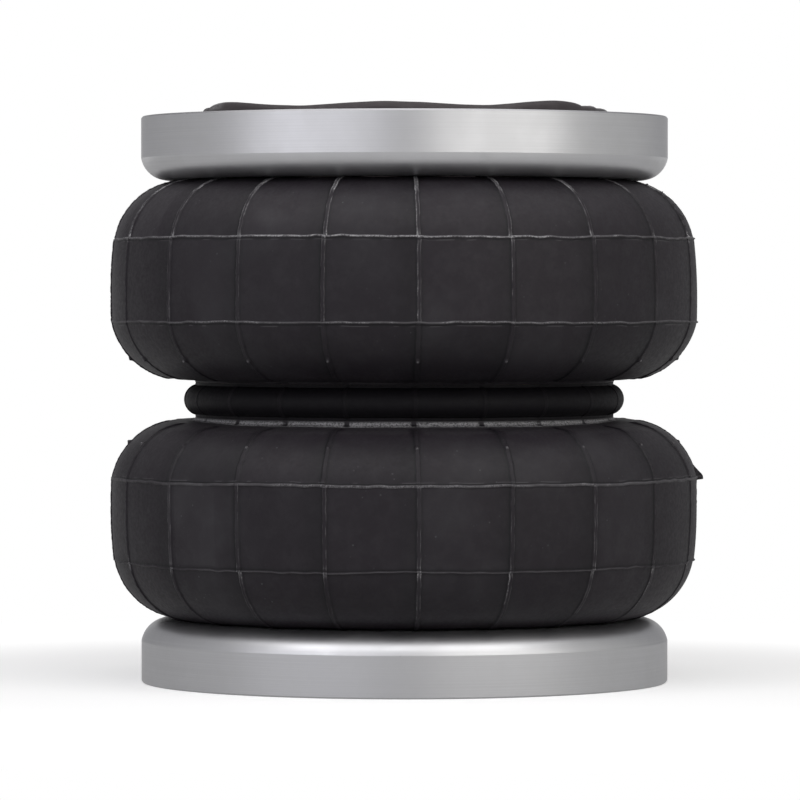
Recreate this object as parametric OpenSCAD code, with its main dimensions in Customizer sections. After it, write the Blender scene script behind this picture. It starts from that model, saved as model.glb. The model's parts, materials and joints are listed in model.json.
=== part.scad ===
// Double-convolution air suspension spring with two loose flange rings.
// Millimetres. The axis is Z, and the lower ring's outer face is Z = 0.
//
// The bellows is drawn as a half section. Its wall is a pile of layers, each given by how
// deep its two faces lie under the outer face of the rubber. Heights in the section count
// from the waist, so one section serves the lower convolution and its mirror image.

/* [Flange rings] */
// Outside diameter of a ring
ring_d = 200; // [180:0.5:215]
// Height of a ring
ring_h = 24; // [20:0.5:30]
// Radius of the shoulder that faces the bellows
ring_shoulder_r = 10; // [4:0.5:12]
// How far that radius would stand out past the cylinder, which leaves a faint edge between them
ring_shoulder_over = 0.16; // [0.05:0.01:0.4]
// Radial width of a ring, from its rim to the bore round the bellows' neck
ring_w = 27.5; // [25:0.5:30]
// Radius of the mouth that the rubber rolls over
ring_mouth_r = 6; // [3:0.5:8]
// Width of the step between the bore and the counterbore that holds the bead
seat_w = 6.8; // [6:0.1:8]
// Depth of that counterbore from the outer face
seat_depth = 12.5; // [11.5:0.1:14]
// Bevel of the edges on the outer face
ring_bevel = 0.6; // [0.3:0.1:1.5]

/* [Bolt holes] */
// Number of tapped holes in each ring
bolt_count = 8; // [4:1:12]
// Distance from the middle of a tapped hole to the ring's rim
bolt_rim = 11; // [9:0.5:13]
// Tapping diameter of a hole
bolt_hole_d = 6.8; // [4:0.1:8.5]
// Depth of a hole
bolt_hole_depth = 15; // [8:0.5:17]
// Depth of the lead-in cone at a hole's mouth
bolt_lead_in = 0.4; // [0.2:0.1:0.5]

/* [Convolutions] */
// How far the crown stands out from the waist's neck, at the level rib near the waist
bag_out = 31.8; // [29:0.1:40]
// How far the crown falls back from there to the level rib near the ring
crown_fall = 1.3; // [0.2:0.1:3]
// Height of a convolution between its two level sides
bag_h = 75.2; // [68:0.2:90]
// Radius of the shoulder next to the waist
waist_shoulder_r = 27.5; // [20:0.5:30]
// Radius of the shoulder next to the ring
ring_side_shoulder_r = 26.5; // [20:0.5:30]
// Space between the rubber and the ring's face, and between the neck and the ring's bore
ring_gap = 0.4; // [0.3:0.05:1]

/* [Wall layers] */
// Thickness of the outer cover
cover_t = 2; // [1.2:0.1:3]
// Thickness of one cord ply
ply_t = 1.2; // [0.8:0.1:1.4]
// Thickness of the airtight liner
liner_t = 1.4; // [0.8:0.1:2]
// Film of bonding rubber between two layers
bond_t = 0.2; // [0.1:0.05:0.3]

/* [Mould ribs] */
// Number of upright ribs round each convolution
rib_count = 20; // [8:1:36]
// Width of an upright rib at the crown
rib_w = 1.3; // [0.8:0.1:3]
// How far the upright ribs stand proud of the rubber
rib_h = 0.5; // [0.3:0.1:1]
// How far the level ribs stand proud of the rubber
level_rib_h = 0.4; // [0.2:0.1:0.9]
// Radius of a level rib's section
level_rib_r = 0.7; // [0.6:0.1:1.2]
// Turn of the first upright rib from the front
rib_turn = 2.7; // [0:0.1:17.9]
// Height of the level rib near the waist over the convolution's waist side
low_rib_height = 22; // [18:0.2:26]
// Height of the level rib near the ring over the convolution's waist side
high_rib_height = 53.3; // [46:0.2:60]

/* [Waist] */
// Space between the two convolutions at the waist
waist_gap = 15.2; // [13:0.2:20]
// Outside diameter of the neck that the hoop sits round
waist_d = 158.8; // [150:0.2:162]
// Radius of the bend from the neck into a convolution
waist_bend_r = 1.5; // [1:0.1:2]
// Diameter of the wire-wound hoop's section
hoop_d = 4.6; // [3:0.1:5]
// Height of the rubber bulge over the hoop
girdle_h = 11.4; // [9:0.2:12]
// How far the rubber bulge stands out from the neck
girdle_out = 4; // [3.4:0.1:6]

/* [Beads] */
// How far the sealing lip above the upper ring stays in from the bead's outside
lip_in = 0.9; // [0.4:0.1:3]
// Radial width of the lip
lip_w = 8; // [5:0.5:10]
// Height of the lip's crests over the ring
lip_h = 3.5; // [2:0.1:5]
// Depth of the hollows between the crests
lip_wave = 1.6; // [0.5:0.1:1.8]
// Number of crests round the lip
lip_crests = 7; // [3:1:9]
// Turn of the first crest from the front
lip_turn = -5; // [-25:0.5:25]
// Side of the square bundle of bead wire
core_w = 4.4; // [3:0.1:4.8]
// Number of wires along one side of the bundle
wire_count = 4; // [3:1:6]
// Depth of the bundle's middle under the outer face of the ring
core_depth = 6; // [5.7:0.1:6.3]

/* [Hidden] */

$fn = 96;
metal = [0.74, 0.74, 0.76];
rubber = [0.17, 0.165, 0.175];
liner_rubber = [0.1, 0.1, 0.105];
cord = [0.55, 0.47, 0.34];
crossed_cord = [0.45, 0.39, 0.3];
wire = [0.62, 0.5, 0.3];
overshoot = 1;
// Gap at a seam between two parts of the bellows
seam_gap = 0.3;
// Facets of the smallest and of the widest round forms
small_fn = 32;
wide_fn = 360;

// Depths of the layers under the outer face of the rubber
outer_ply_at = cover_t + bond_t;
inner_ply_at = outer_ply_at + ply_t + bond_t;
liner_at = inner_ply_at + ply_t + bond_t;
wall_t = liner_at + liner_t;

// Heights over the waist
bag_bottom = waist_gap / 2;
bag_top = bag_bottom + bag_h;
ring_face = bag_top + ring_gap;
waist_z = ring_face + ring_h;
waist_seam = bag_bottom - waist_bend_r;
ring_seam = ring_face;
sleeve_h = 2 * waist_seam - seam_gap;

// Radii of the outer face of the rubber at the waist and at the two ends of the crown
waist_r = waist_d / 2;
crown_r = waist_r + bag_out;
ring_side_crown_r = crown_r - crown_fall;

// The ring's bore, the neck inside it and the roll of the wall into the neck
ring_r = ring_d / 2;
ring_bore_r = ring_r - ring_w;
neck_r = ring_bore_r - ring_gap;
roll_at = [ring_bore_r + ring_mouth_r, ring_face + ring_mouth_r];
waist_bend_at = [waist_r + waist_bend_r, waist_seam];

// The level ribs, and the middles of the two shoulder arcs that meet the conical crown there
low_rib_at = bag_bottom + low_rib_height;
high_rib_at = bag_bottom + high_rib_height;

function shoulder_at(middle, radius, rib_r, rib) =
  [rib_r - sqrt(pow(radius, 2) - pow(rib - middle, 2)), middle];

waist_shoulder_at =
  shoulder_at(bag_bottom + waist_shoulder_r, waist_shoulder_r, crown_r, low_rib_at);
ring_shoulder_at =
  shoulder_at(bag_top - ring_side_shoulder_r, ring_side_shoulder_r, ring_side_crown_r, high_rib_at);
// A radius that every section reaches in to, well inside the wall
inner_r = neck_r / 2;
// How deep a rib's root lies in the girdle's rubber
girdle_rib_root = 0.35;

// The hoop in the girdle and the round bulge over it
girdle_bore_r = waist_r - cover_t;
hoop_r = girdle_bore_r + hoop_d / 2;
bulge_r = girdle_h / 2;
bulge_at = [waist_r + girdle_out - bulge_r, 0];

// The bead, measured from the outer face of the ring towards the bellows
seat_r = ring_bore_r + seat_w;
bead_r = seat_r - ring_gap;
bead_bottom = seat_depth - ring_gap;
bead_corner_r = 1.5;
// The plies wrapped round the wire bundle, and the rubber over them
ply_wrap_t = 1.6;
wrap_clear = 0.3;
wrap_r = core_w / sqrt(2) + wrap_clear + ply_wrap_t;
bead_skin_t = 1.2;
core_r = bead_r - bead_skin_t - wrap_r;
turn_up_gap = 1.2;
// The plies where they run along the neck
ply_out_r = neck_r - outer_ply_at;
ply_in_r = neck_r - inner_ply_at - ply_t;
neck_end = seam_gap / 2 - ring_h;
// How far the lower bead stays back from the face that the spring stands on
lower_face_gap = 0.3;

// What lies on the air side of a surface that many millimetres under the rubber's outer face
module air_side(depth) {
  slope = crown_fall / (high_rib_at - low_rib_at);
  bottom_r = crown_r - depth + slope * (low_rib_at - bag_bottom);
  intersection() {
    polygon([
      [inner_r, waist_seam], [bottom_r + slope * waist_bend_r, waist_seam],
      [bottom_r - slope * (ring_seam - bag_bottom), ring_seam], [inner_r, ring_seam]
    ]);
    union() {
      translate(waist_shoulder_at) circle(r = waist_shoulder_r - depth);
      translate(ring_shoulder_at) circle(r = ring_side_shoulder_r - depth);
      translate([inner_r, waist_shoulder_at[1]])
        square([crown_r, ring_shoulder_at[1] - waist_shoulder_at[1]]);
      translate([inner_r, bag_bottom + depth])
        square([waist_shoulder_at[0] - inner_r, waist_shoulder_r - depth + overshoot]);
      translate([inner_r, ring_shoulder_at[1] - overshoot])
        square([ring_shoulder_at[0] - inner_r, ring_side_shoulder_r - depth + overshoot]);
      throat(waist_bend_at, waist_bend_r + depth, 1);
      throat(roll_at, roll_at[1] - bag_top + depth, -1);
    }
  }
}

// The narrow way out of a convolution, which widens into it round the bend in the wall
module throat(bend_at, bend_r, towards_bag) {
  reach = bend_at[0] - inner_r;
  difference() {
    translate([inner_r, min(bend_at[1], bend_at[1] + towards_bag * bend_r)])
      square([reach, bend_r]);
    translate(bend_at) circle(r = bend_r);
  }
}

// One layer of a convolution's wall between two depths, cut off at both seams
module wall_section(from, to) {
  intersection() {
    difference() {
      air_side(from);
      air_side(to);
    }
    translate([inner_r, waist_seam + seam_gap / 2])
      square([crown_r, ring_seam - waist_seam - seam_gap]);
  }
}

// A layer turned round the axis, placed over or under the waist
module convolution(upper) {
  translate([0, 0, waist_z]) mirror([0, 0, upper ? 0 : 1]) children();
}

module layer(from, to, upper) {
  convolution(upper) rotate_extrude() wall_section(from, to);
}

// An upright rib: a narrow slice of a thin skin that starts inside the cover
module upright_ribs() {
  slice = 2 * asin(rib_w / crown_r / 2);
  for (i = [0 : rib_count - 1])
    rotate([0, 0, rib_turn - 90 - slice / 2 + i * 360 / rib_count])
      rotate_extrude(angle = slice) children();
}

// An upright rib reaches over both shoulders, and half through the cover to hold on to it
module rib_section() {
  intersection() {
    difference() {
      air_side(-rib_h);
      air_side(cover_t / 2);
    }
    translate([max(waist_shoulder_at[0], ring_shoulder_at[0]) + overshoot, 0])
      square([crown_r, ring_seam]);
  }
}

module level_rib(rib_r, height) {
  translate([rib_r + level_rib_h - level_rib_r, height]) circle(r = level_rib_r, $fn = small_fn);
}

module cover(upper) {
  color(rubber) convolution(upper) {
    rotate_extrude() {
      wall_section(0, cover_t);
      level_rib(crown_r, low_rib_at);
      level_rib(ring_side_crown_r, high_rib_at);
    }
    upright_ribs() rib_section();
  }
}

module outer_ply(upper) {
  color(cord) layer(outer_ply_at, outer_ply_at + ply_t, upper);
}

module inner_ply(upper) {
  color(crossed_cord) layer(inner_ply_at, inner_ply_at + ply_t, upper);
}

module liner(upper) {
  color(liner_rubber) layer(liner_at, liner_at + liner_t, upper);
}

// The straight neck of one layer at the waist
module waist_sleeve(from, to) {
  translate([0, 0, waist_z]) rotate_extrude()
    translate([waist_r - to, -sleeve_h / 2]) square([to - from, sleeve_h]);
}

// Wires in a square bundle, each pressed a little into its neighbours, with rubber between them
module wire_bundle(side, wires) {
  pressed = 0.12;
  wire_d = side / (wires - pressed * (wires - 1));
  pitch = (side - wire_d) / (wires - 1);
  square(side - (1 - pressed) * wire_d, center = true);
  for (i = [0 : wires - 1], j = [0 : wires - 1])
    if (i == 0 || j == 0 || i == wires - 1 || j == wires - 1)
      translate([i * pitch - (side - wire_d) / 2, j * pitch - (side - wire_d) / 2])
        circle(d = wire_d, $fn = small_fn);
}

module girdle_hoop() {
  color(wire) translate([0, 0, waist_z]) rotate_extrude()
    translate([hoop_r, 0]) wire_bundle(hoop_d, wire_count);
}

// A short sleeve of cover with a round bulge on it, and a square channel inside for the hoop
module girdle_section() {
  difference() {
    union() {
      translate([girdle_bore_r, -sleeve_h / 2]) square([cover_t, sleeve_h]);
      intersection() {
        translate(bulge_at) circle(r = bulge_r);
        translate([girdle_bore_r, -bulge_r]) square([girdle_h, girdle_h]);
      }
    }
    translate([girdle_bore_r - overshoot, -hoop_d / 2 - bond_t / 2])
      square([hoop_d + overshoot + bond_t / 2, hoop_d + bond_t]);
  }
}

module girdle_rib_section() {
  intersection() {
    translate(bulge_at) difference() {
      circle(r = bulge_r + rib_h);
      circle(r = bulge_r - girdle_rib_root);
    }
    translate([waist_r + girdle_rib_root, -girdle_h]) square(2 * girdle_h);
  }
}

module girdle_cover() {
  color(rubber) translate([0, 0, waist_z]) {
    rotate_extrude() girdle_section();
    upright_ribs() girdle_rib_section();
  }
}

module girdle_outer_ply() {
  color(cord) waist_sleeve(outer_ply_at, outer_ply_at + ply_t);
}

module girdle_inner_ply() {
  color(crossed_cord) waist_sleeve(inner_ply_at, inner_ply_at + ply_t);
}

module girdle_liner() {
  color(liner_rubber) waist_sleeve(liner_at, liner_at + liner_t);
}

// Places what is drawn with its outer face at zero and the bellows below it
module at_end(upper) {
  if (upper)
    translate([0, 0, 2 * waist_z]) children();
  else
    mirror([0, 0, 1]) children();
}

module ring_section() {
  corner = [ring_r + ring_shoulder_over - ring_shoulder_r, ring_shoulder_r - ring_h];
  mouth = [ring_bore_r + ring_mouth_r, ring_mouth_r - ring_h];
  difference() {
    intersection() {
      translate([ring_bore_r, -ring_h]) square([ring_w, ring_h]);
      union() {
        translate(corner) circle(r = ring_shoulder_r);
        translate(mouth) circle(r = ring_mouth_r);
        translate([mouth[0], -ring_h]) square([corner[0] - mouth[0], ring_h]);
        translate([0, corner[1]]) square([ring_d, ring_h]);
      }
    }
    translate([0, -seat_depth]) square([seat_r, ring_h]);
    bevel(seat_r, 1);
    bevel(ring_r, -1);
  }
}

// A triangle that bevels an edge of the outer face at one radius
module bevel(radius, side) {
  polygon([
    [radius - side * overshoot, overshoot],
    [radius + side * (ring_bevel + overshoot), overshoot],
    [radius - side * overshoot, -ring_bevel - overshoot]
  ]);
}

module bolt_hole() {
  cone_h = bolt_lead_in + overshoot;
  translate([0, 0, -bolt_hole_depth]) cylinder(d = bolt_hole_d, h = bolt_hole_depth + overshoot);
  translate([0, 0, -bolt_lead_in]) cylinder(d1 = bolt_hole_d, d2 = bolt_hole_d + 2 * cone_h, h = cone_h);
}

module flange_ring(upper) {
  color(metal) at_end(upper) difference() {
    rotate_extrude() ring_section();
    for (i = [0 : bolt_count - 1])
      rotate([0, 0, (i + 0.5) * 360 / bolt_count]) translate([ring_r - bolt_rim, 0, 0]) bolt_hole();
  }
}

module bead_core(upper) {
  color(wire) at_end(upper) rotate_extrude()
    translate([core_r, -core_depth]) wire_bundle(core_w, wire_count);
}

// The plies run up the neck, go round the bundle and turn back outside themselves
module bead_plies(upper) {
  color(cord) at_end(upper) rotate_extrude() difference() {
    union() {
      translate([core_r, -core_depth]) circle(r = wrap_r);
      translate([ply_in_r, neck_end]) square([ply_out_r - ply_in_r, -core_depth - neck_end]);
    }
    translate([core_r, -core_depth]) circle(r = wrap_r - ply_wrap_t);
    translate([ply_out_r, -core_depth - wrap_r - overshoot])
      square([turn_up_gap, wrap_r + overshoot - ply_wrap_t]);
  }
}

// The wall where it rolls round the ring's mouth into the neck, and the bead that fills the seat
module bead_section(top) {
  bore_r = neck_r - wall_t;
  roll = [roll_at[0], ring_mouth_r - ring_h];
  corner = [bead_r - bead_corner_r, bead_corner_r - bead_bottom];
  difference() {
    translate([bore_r, neck_end]) square([roll[0] - bore_r, roll[1] - neck_end]);
    translate(roll) circle(r = ring_mouth_r + ring_gap);
  }
  translate([bore_r, roll[1]]) square([wall_t, top - roll[1]]);
  translate([bore_r, corner[1]]) square([bead_r - bore_r, top - corner[1]]);
  translate([bore_r, -bead_bottom]) square([corner[0] - bore_r, bead_corner_r + overshoot]);
  translate(corner) circle(r = bead_corner_r, $fn = small_fn);
}

module bead_body(top) {
  rotate_extrude() difference() {
    bead_section(top);
    translate([core_r, -core_depth]) circle(r = wrap_r + bond_t / 2);
    translate([ply_in_r - bond_t / 2, neck_end - overshoot])
      square([ply_out_r - ply_in_r + bond_t, -core_depth - neck_end + overshoot]);
  }
}

module lower_bead_rubber() {
  color(rubber) at_end(false) bead_body(-lower_face_gap);
}

// The lip is a flat ring, and a shallow arc is cut across its top between each two crests
module lip() {
  crest_share = 0.1;
  spacing = 360 / lip_crests;
  inside_r = bead_r - lip_in - lip_w;
  chord = 2 * inside_r * sin(spacing / 2) * (1 - crest_share);
  hollow_r = pow(chord / 2, 2) / (2 * lip_wave) + lip_wave / 2;
  difference() {
    rotate_extrude() translate([inside_r, -overshoot]) square([lip_w, lip_h + overshoot]);
    for (i = [0 : lip_crests - 1])
      rotate([0, 0, lip_turn - 90 + (i + 0.5) * spacing]) translate([inside_r - overshoot, 0, 0])
        rotate([90, 0, 90]) linear_extrude(lip_w + 2 * overshoot) intersection() {
          translate([0, lip_h - lip_wave + hollow_r]) circle(r = hollow_r, $fn = wide_fn);
          translate([-chord / 2 - overshoot, 0]) square([chord + 2 * overshoot, lip_h + overshoot / 4]);
        }
  }
}

module upper_bead_rubber() {
  color(rubber) at_end(true) {
    bead_body(0);
    lip();
  }
}

flange_ring(false);  // lower_flange_ring
bead_core(false);  // lower_bead_core
bead_plies(false);  // lower_bead_plies
lower_bead_rubber();
cover(false);  // lower_cover
outer_ply(false);  // lower_outer_ply
inner_ply(false);  // lower_inner_ply
liner(false);  // lower_liner
girdle_hoop();
girdle_cover();
girdle_outer_ply();
girdle_inner_ply();
girdle_liner();
cover(true);  // upper_cover
outer_ply(true);  // upper_outer_ply
inner_ply(true);  // upper_inner_ply
liner(true);  // upper_liner
flange_ring(true);  // upper_flange_ring
bead_core(true);  // upper_bead_core
bead_plies(true);  // upper_bead_plies
upper_bead_rubber();
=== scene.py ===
import json
import math

import bpy
import numpy as np
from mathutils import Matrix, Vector

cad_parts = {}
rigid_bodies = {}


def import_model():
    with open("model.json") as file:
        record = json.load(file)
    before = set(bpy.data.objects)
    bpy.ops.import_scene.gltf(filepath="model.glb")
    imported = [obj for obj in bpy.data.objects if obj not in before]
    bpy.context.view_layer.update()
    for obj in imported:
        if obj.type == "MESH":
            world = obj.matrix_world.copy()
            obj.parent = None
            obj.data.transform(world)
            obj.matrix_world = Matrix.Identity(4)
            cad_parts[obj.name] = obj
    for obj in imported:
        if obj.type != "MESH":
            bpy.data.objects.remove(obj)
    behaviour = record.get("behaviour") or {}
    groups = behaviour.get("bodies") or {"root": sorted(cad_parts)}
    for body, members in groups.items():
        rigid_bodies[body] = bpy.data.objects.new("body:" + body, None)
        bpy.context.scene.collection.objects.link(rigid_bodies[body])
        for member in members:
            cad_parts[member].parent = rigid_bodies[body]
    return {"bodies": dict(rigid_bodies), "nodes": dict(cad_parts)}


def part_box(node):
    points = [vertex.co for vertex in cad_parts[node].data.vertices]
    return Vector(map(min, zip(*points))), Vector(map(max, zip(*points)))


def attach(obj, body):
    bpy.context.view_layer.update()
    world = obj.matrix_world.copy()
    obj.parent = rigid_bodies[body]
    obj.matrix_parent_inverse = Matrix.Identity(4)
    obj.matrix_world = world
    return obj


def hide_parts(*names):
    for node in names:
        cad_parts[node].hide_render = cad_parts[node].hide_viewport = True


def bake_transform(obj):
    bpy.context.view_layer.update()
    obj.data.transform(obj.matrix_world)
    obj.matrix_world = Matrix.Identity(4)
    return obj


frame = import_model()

# A double-convolution air suspension spring between two satin aluminium rings.
# The bellows' layers, the girdle's rubber and the upper bead are modelled here as turned
# meshes. The rings and the hidden bead parts are the CAD nodes.
# Lengths are in metres. An angle of 0 is the front, at -Y, and angles grow towards +X.
# Each cover has a point attribute of chalk and painted light: above 0 the rubber is chalky there, partly as
# painted highlight, and below 0 it is painted shade.

MM = 0.001
TURN = 2 * math.pi


def clear_start_objects():
    """Removes whatever isn't a node or a body of the frame."""
    kept = set(frame["nodes"].values()) | set(frame["bodies"].values())
    for thing in list(bpy.data.objects):
        if thing not in kept:
            bpy.data.objects.remove(thing)


clear_start_objects()
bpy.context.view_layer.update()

# Places taken from the frame
ring_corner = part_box("lower_flange_ring")[1]
RING_R = ring_corner.x
RING_H = ring_corner.z
TOTAL_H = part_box("upper_flange_ring")[1].z
WAIST_Z = TOTAL_H / 2

# The bellows' half section: radii from the axis, and heights over the waist. It bends out of
# the neck at the waist, goes over the two shoulders, and rolls into the ring's neck.
WAIST_NECK_R = 79.4 * MM
WAIST_SEAM = 6.1 * MM
WAIST_BEND_R = 1.5 * MM
BAG_LOW = 7.6 * MM
WAIST_SHOULDER_R = 27.5 * MM
CROWN_R = 111 * MM
CROWN_BULGE = 0.6 * MM
RING_SIDE_CROWN_R = 109.7 * MM
RING_SHOULDER_R = 26.5 * MM
BAG_HIGH = 82.8 * MM
ROLL_R = 6.4 * MM
ROLL_AT = (78.5 * MM, 89.2 * MM)
NECK_R = ROLL_AT[0] - ROLL_R
RING_SEAM = WAIST_Z - RING_H
# The level ribs' heights over the waist
LOW_RIB_AT = 29.6 * MM
HIGH_RIB_AT = 60.9 * MM

# The gap between bodies. At the waist the cover starts past the seam of the plies, and the
# girdle's rubber reaches up to it, so that neither light nor plies show through.
SEAM_GAP = 0.3 * MM
COVER_LAP = 0.35 * MM
GIRDLE_LAP = 0.57 * MM

# Depths of each layer's outer and inner face under the rubber's outer face
LAYERS = {
    "cover": (0, 2 * MM),
    "outer_ply": (2.2 * MM, 3.4 * MM),
    "inner_ply": (3.6 * MM, 4.8 * MM),
    "liner": (5 * MM, 6.4 * MM),
}

# Height over the waist at which each layer's throat ends and its wall starts
SPLIT_AT = 21.2 * MM

# Steps between rows of points: on plain faces, on the covers, across a level rib, across the
# vent nubs and across the edge beside the girdle
PLAIN_STEP = 2 * MM
COVER_STEP = 0.7 * MM
LEVEL_RIB_STEP = 0.18 * MM
NUB_STEP = 0.3 * MM
WAIST_EDGE_STEP = 0.2 * MM
PLAIN_COLUMNS = 180

# Upright mould ribs: how many, the angle of the first, the columns of points across one, and
# its height at each
RIB_COUNT = 20
RIB_TURN = math.radians(2.7)
RIB_ACROSS = np.array([-1.7, -1.1, -0.8, -0.6, -0.36, 0, 0.36, 0.6, 0.8, 1.1, 1.7]) * MM
RIB_SHAPE = np.array([0, 0, 0.2, 1, 0.92, 0.86, 0.92, 1, 0.2, 0, 0])
RIB_H = 0.5 * MM
PANEL_COLUMNS = 22
# How far a rib lies off its even place in one band, and how far it sways along its length
RIB_OFF = 0.45 * MM
RIB_SWAY = 0.14 * MM
# Chalk and painted highlight on a rib on the waist side of the level ribs, between them and on the ring
# side
RIB_CHALK_AND_HIGHLIGHT = np.array([0.2, 0.5, 0.6])
# How chalk and painted highlight lie across a rib: on its left edge, its right edge and its middle,
# the painted shade beside it, and the foot that breaks the chalk beside the girdle
RIB_LEFT = np.array([0, 0, 0.4, 1, 0.25, 0, 0, 0, 0, 0, 0])
RIB_RIGHT = RIB_LEFT[::-1]
RIB_MIDDLE = np.array([0, 0, 0, 0.4, 0.9, 1, 0.9, 0.4, 0, 0, 0])
RIB_SHADE = np.array([0.5, 1, 0.5, 0, 0, 0, 0, 0, 0.3, 0.5, 0.1])
RIB_FOOT = np.array([0, 0.3, 1, 1, 1, 1, 1, 1, 1, 0.3, 0])
# The vent nub on each rib: its height over the waist, how far it spreads, and how far it stands out
NUB_AT = {"upper": 15.8 * MM, "lower": 16.4 * MM}
NUB_R = 0.75 * MM
NUB_H = 0.9 * MM
# Flash that was left on two ribs: a torn strip on the upper cover and a spike on the lower one
FLASH_RIB = 4
FLASH_H = 0.9 * MM
SPIKE_RIB = 5
SPIKE_H = 2.5 * MM

LEVEL_RIB_H = 0.4 * MM
# Half width and chalk of the waist-side level rib and the ring-side one
LEVEL_RIBS = {
    "upper": ((0.42 * MM, 0.34), (0.42 * MM, 0.66)),
    "lower": ((0.6 * MM, 0.28), (0.36 * MM, 0.12)),
}
# The edge of the wall beside the girdle: its place along the line, width, height, and chalk with painted
# highlight
WAIST_EDGE_AT = 2.6 * MM
WAIST_EDGE_W = 0.6 * MM
WAIST_EDGE_H = 0.25 * MM
WAIST_EDGE_CHALK_AND_HIGHLIGHT = {"upper": 0.3, "lower": 1.0}
# How much lower the lower convolution's crest is at the front
FRONT_DIP = 1.35 * MM
# Chalk value towards which the panels' tone is drawn on the lower convolution's crest, beside the waist,
# lightening it
CREST_TONE = 0.03
# Soft patches of bloom: side, angle in degrees, height over the waist, and strength
BLOOMS = (
    ("upper", -27, 68 * MM, 0.09),
    ("upper", 14, 67 * MM, 0.035),
    ("lower", -24, 58 * MM, 0.03),
    ("lower", 40, 20 * MM, 0.035),
)
BLOOM_TURN = 7
BLOOM_R = 7 * MM

# The rubber over the hoop at the waist: how far it stands out of the neck, its bulge's radius,
# and the square channel that the hoop lies in
GIRDLE_OUT = 4 * MM
GIRDLE_BULGE_R = 5.7 * MM
HOOP_CHANNEL = 4.8 * MM

# The bead: its outside radius, its underside, and the plies that wrap the wire bundle
BEAD_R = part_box("upper_bead_rubber")[1].x
BEAD_BOTTOM = TOTAL_H - 12.1 * MM
BEAD_CORNER_R = 1.5 * MM
WRAP_R = 5.11 * MM
CORE_AT = (72.69 * MM, TOTAL_H - 6 * MM)

# The lip above the upper ring: how many waves, the angle of the first, mean height and swing
LIP_CRESTS = 7
LIP_TURN = math.radians(-5)
LIP_H = 2.9 * MM
LIP_WAVE = 0.62 * MM
# Uneven places on the lip: angle and width in degrees, and rise
LIP_LUMPS = (
    (-66, 14, 1.3 * MM), (-76, 3, -0.4 * MM), (-80, 2, 0.5 * MM), (-95, 7, -1.4 * MM),
    (52, 17, 1.1 * MM), (61, 2, -0.5 * MM), (68, 2.5, 0.5 * MM), (78, 6, 0.3 * MM),
    (96, 7, -1.3 * MM),
)
# The lip's section: radii in mm, and shares of its height
LIP_SECTION = (
    (77.7, 0), (77.6, 0.3), (77.35, 0.55), (76.9, 0.78), (76.2, 0.93), (75.3, 1),
    (74.2, 0.98), (72.6, 0.84), (71.2, 0.55), (70.2, 0.2), (69.4, 0),
)
LIP_COLUMNS = 720


def smooth(t):
    """A value kept between 0 and 1 that leaves and meets both ends gently."""
    t = np.clip(t, 0, 1)
    return t * t * (3 - 2 * t)


def wander(seed, knots, phi):
    """A random line round the axis, from -1 to 1, that joins up after a full turn."""
    values = np.random.default_rng(seed).uniform(-1, 1, knots)
    x = np.mod(phi / TURN, 1) * knots
    i = np.floor(x).astype(int)
    f = smooth(x - i)
    return values[i % knots] * (1 - f) + values[(i + 1) % knots] * f


def ripple(seed, phi, s, waves=14, length=40 * MM):
    """A random low swell over a surface, from about -1 to 1."""
    rng = np.random.default_rng(seed)
    total = np.zeros(np.broadcast(phi, s).shape)
    for _ in range(waves):
        turns = rng.integers(-16, 17)
        pace = rng.uniform(-1, 1) * TURN / length
        total += np.sin(turns * phi + pace * s + rng.uniform(0, TURN))
    return total / math.sqrt(waves)


def arc(centre, radius, start, end, step=0.25 * MM):
    """Points along an arc between two angles in degrees."""
    count = max(6, int(abs(math.radians(end - start)) * radius / step))
    a = np.radians(np.linspace(start, end, count))
    return np.column_stack([centre[0] + radius * np.cos(a), centre[1] + radius * np.sin(a)])


def wall_line(depth):
    """The bellows' section line at a depth, from the waist's seam to the ring's seam."""
    # Each shoulder is an arc that meets its crown radius at its own level rib
    waist_reach = math.sqrt(WAIST_SHOULDER_R**2 - (LOW_RIB_AT - BAG_LOW - WAIST_SHOULDER_R) ** 2)
    waist_mid = (CROWN_R - waist_reach, BAG_LOW + WAIST_SHOULDER_R)
    waist_angle = math.degrees(math.asin((LOW_RIB_AT - waist_mid[1]) / WAIST_SHOULDER_R))
    ring_reach = math.sqrt(RING_SHOULDER_R**2 - (HIGH_RIB_AT - BAG_HIGH + RING_SHOULDER_R) ** 2)
    ring_mid = (RING_SIDE_CROWN_R - ring_reach, BAG_HIGH - RING_SHOULDER_R)
    ring_angle = math.degrees(math.asin((HIGH_RIB_AT - ring_mid[1]) / RING_SHOULDER_R))
    bend_at = (WAIST_NECK_R + WAIST_BEND_R, WAIST_SEAM)
    return np.vstack([
        arc(bend_at, WAIST_BEND_R + depth, 180, 90, 0.1 * MM),
        arc(waist_mid, WAIST_SHOULDER_R - depth, -90, waist_angle),
        arc(ring_mid, RING_SHOULDER_R - depth, ring_angle, 90),
        arc(ROLL_AT, ROLL_R + depth, 270, 200, 0.1 * MM),
    ])


class Line:
    """A section line that can be asked for points and outward normals along its length."""

    def __init__(self, points):
        keep = np.r_[True, np.hypot(*np.diff(points, axis=0).T) > 1e-7]
        self.points = points[keep]
        self.along = np.r_[0, np.cumsum(np.hypot(*np.diff(self.points, axis=0).T))]
        self.length = self.along[-1]

    def at(self, s):
        """Radii and heights at lengths along the line."""
        return (np.interp(s, self.along, self.points[:, 0]),
                np.interp(s, self.along, self.points[:, 1]))

    def normal(self, s, reach=0.4 * MM):
        """The outward direction, from points a little before and after."""
        r1, d1 = self.at(s + reach)
        r0, d0 = self.at(s - reach)
        size = np.hypot(r1 - r0, d1 - d0)
        return (d1 - d0) / size, (r0 - r1) / size

    def where(self, height, wide=True):
        """The length along the line at which it passes a height."""
        d = self.points[:, 1] - height
        cross = np.where(d[:-1] * d[1:] <= 0)[0]
        i = cross[-1] if wide else cross[0]
        f = d[i] / (d[i] - d[i + 1]) if d[i] != d[i + 1] else 0
        return self.along[i] + f * (self.along[i + 1] - self.along[i])


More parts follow.
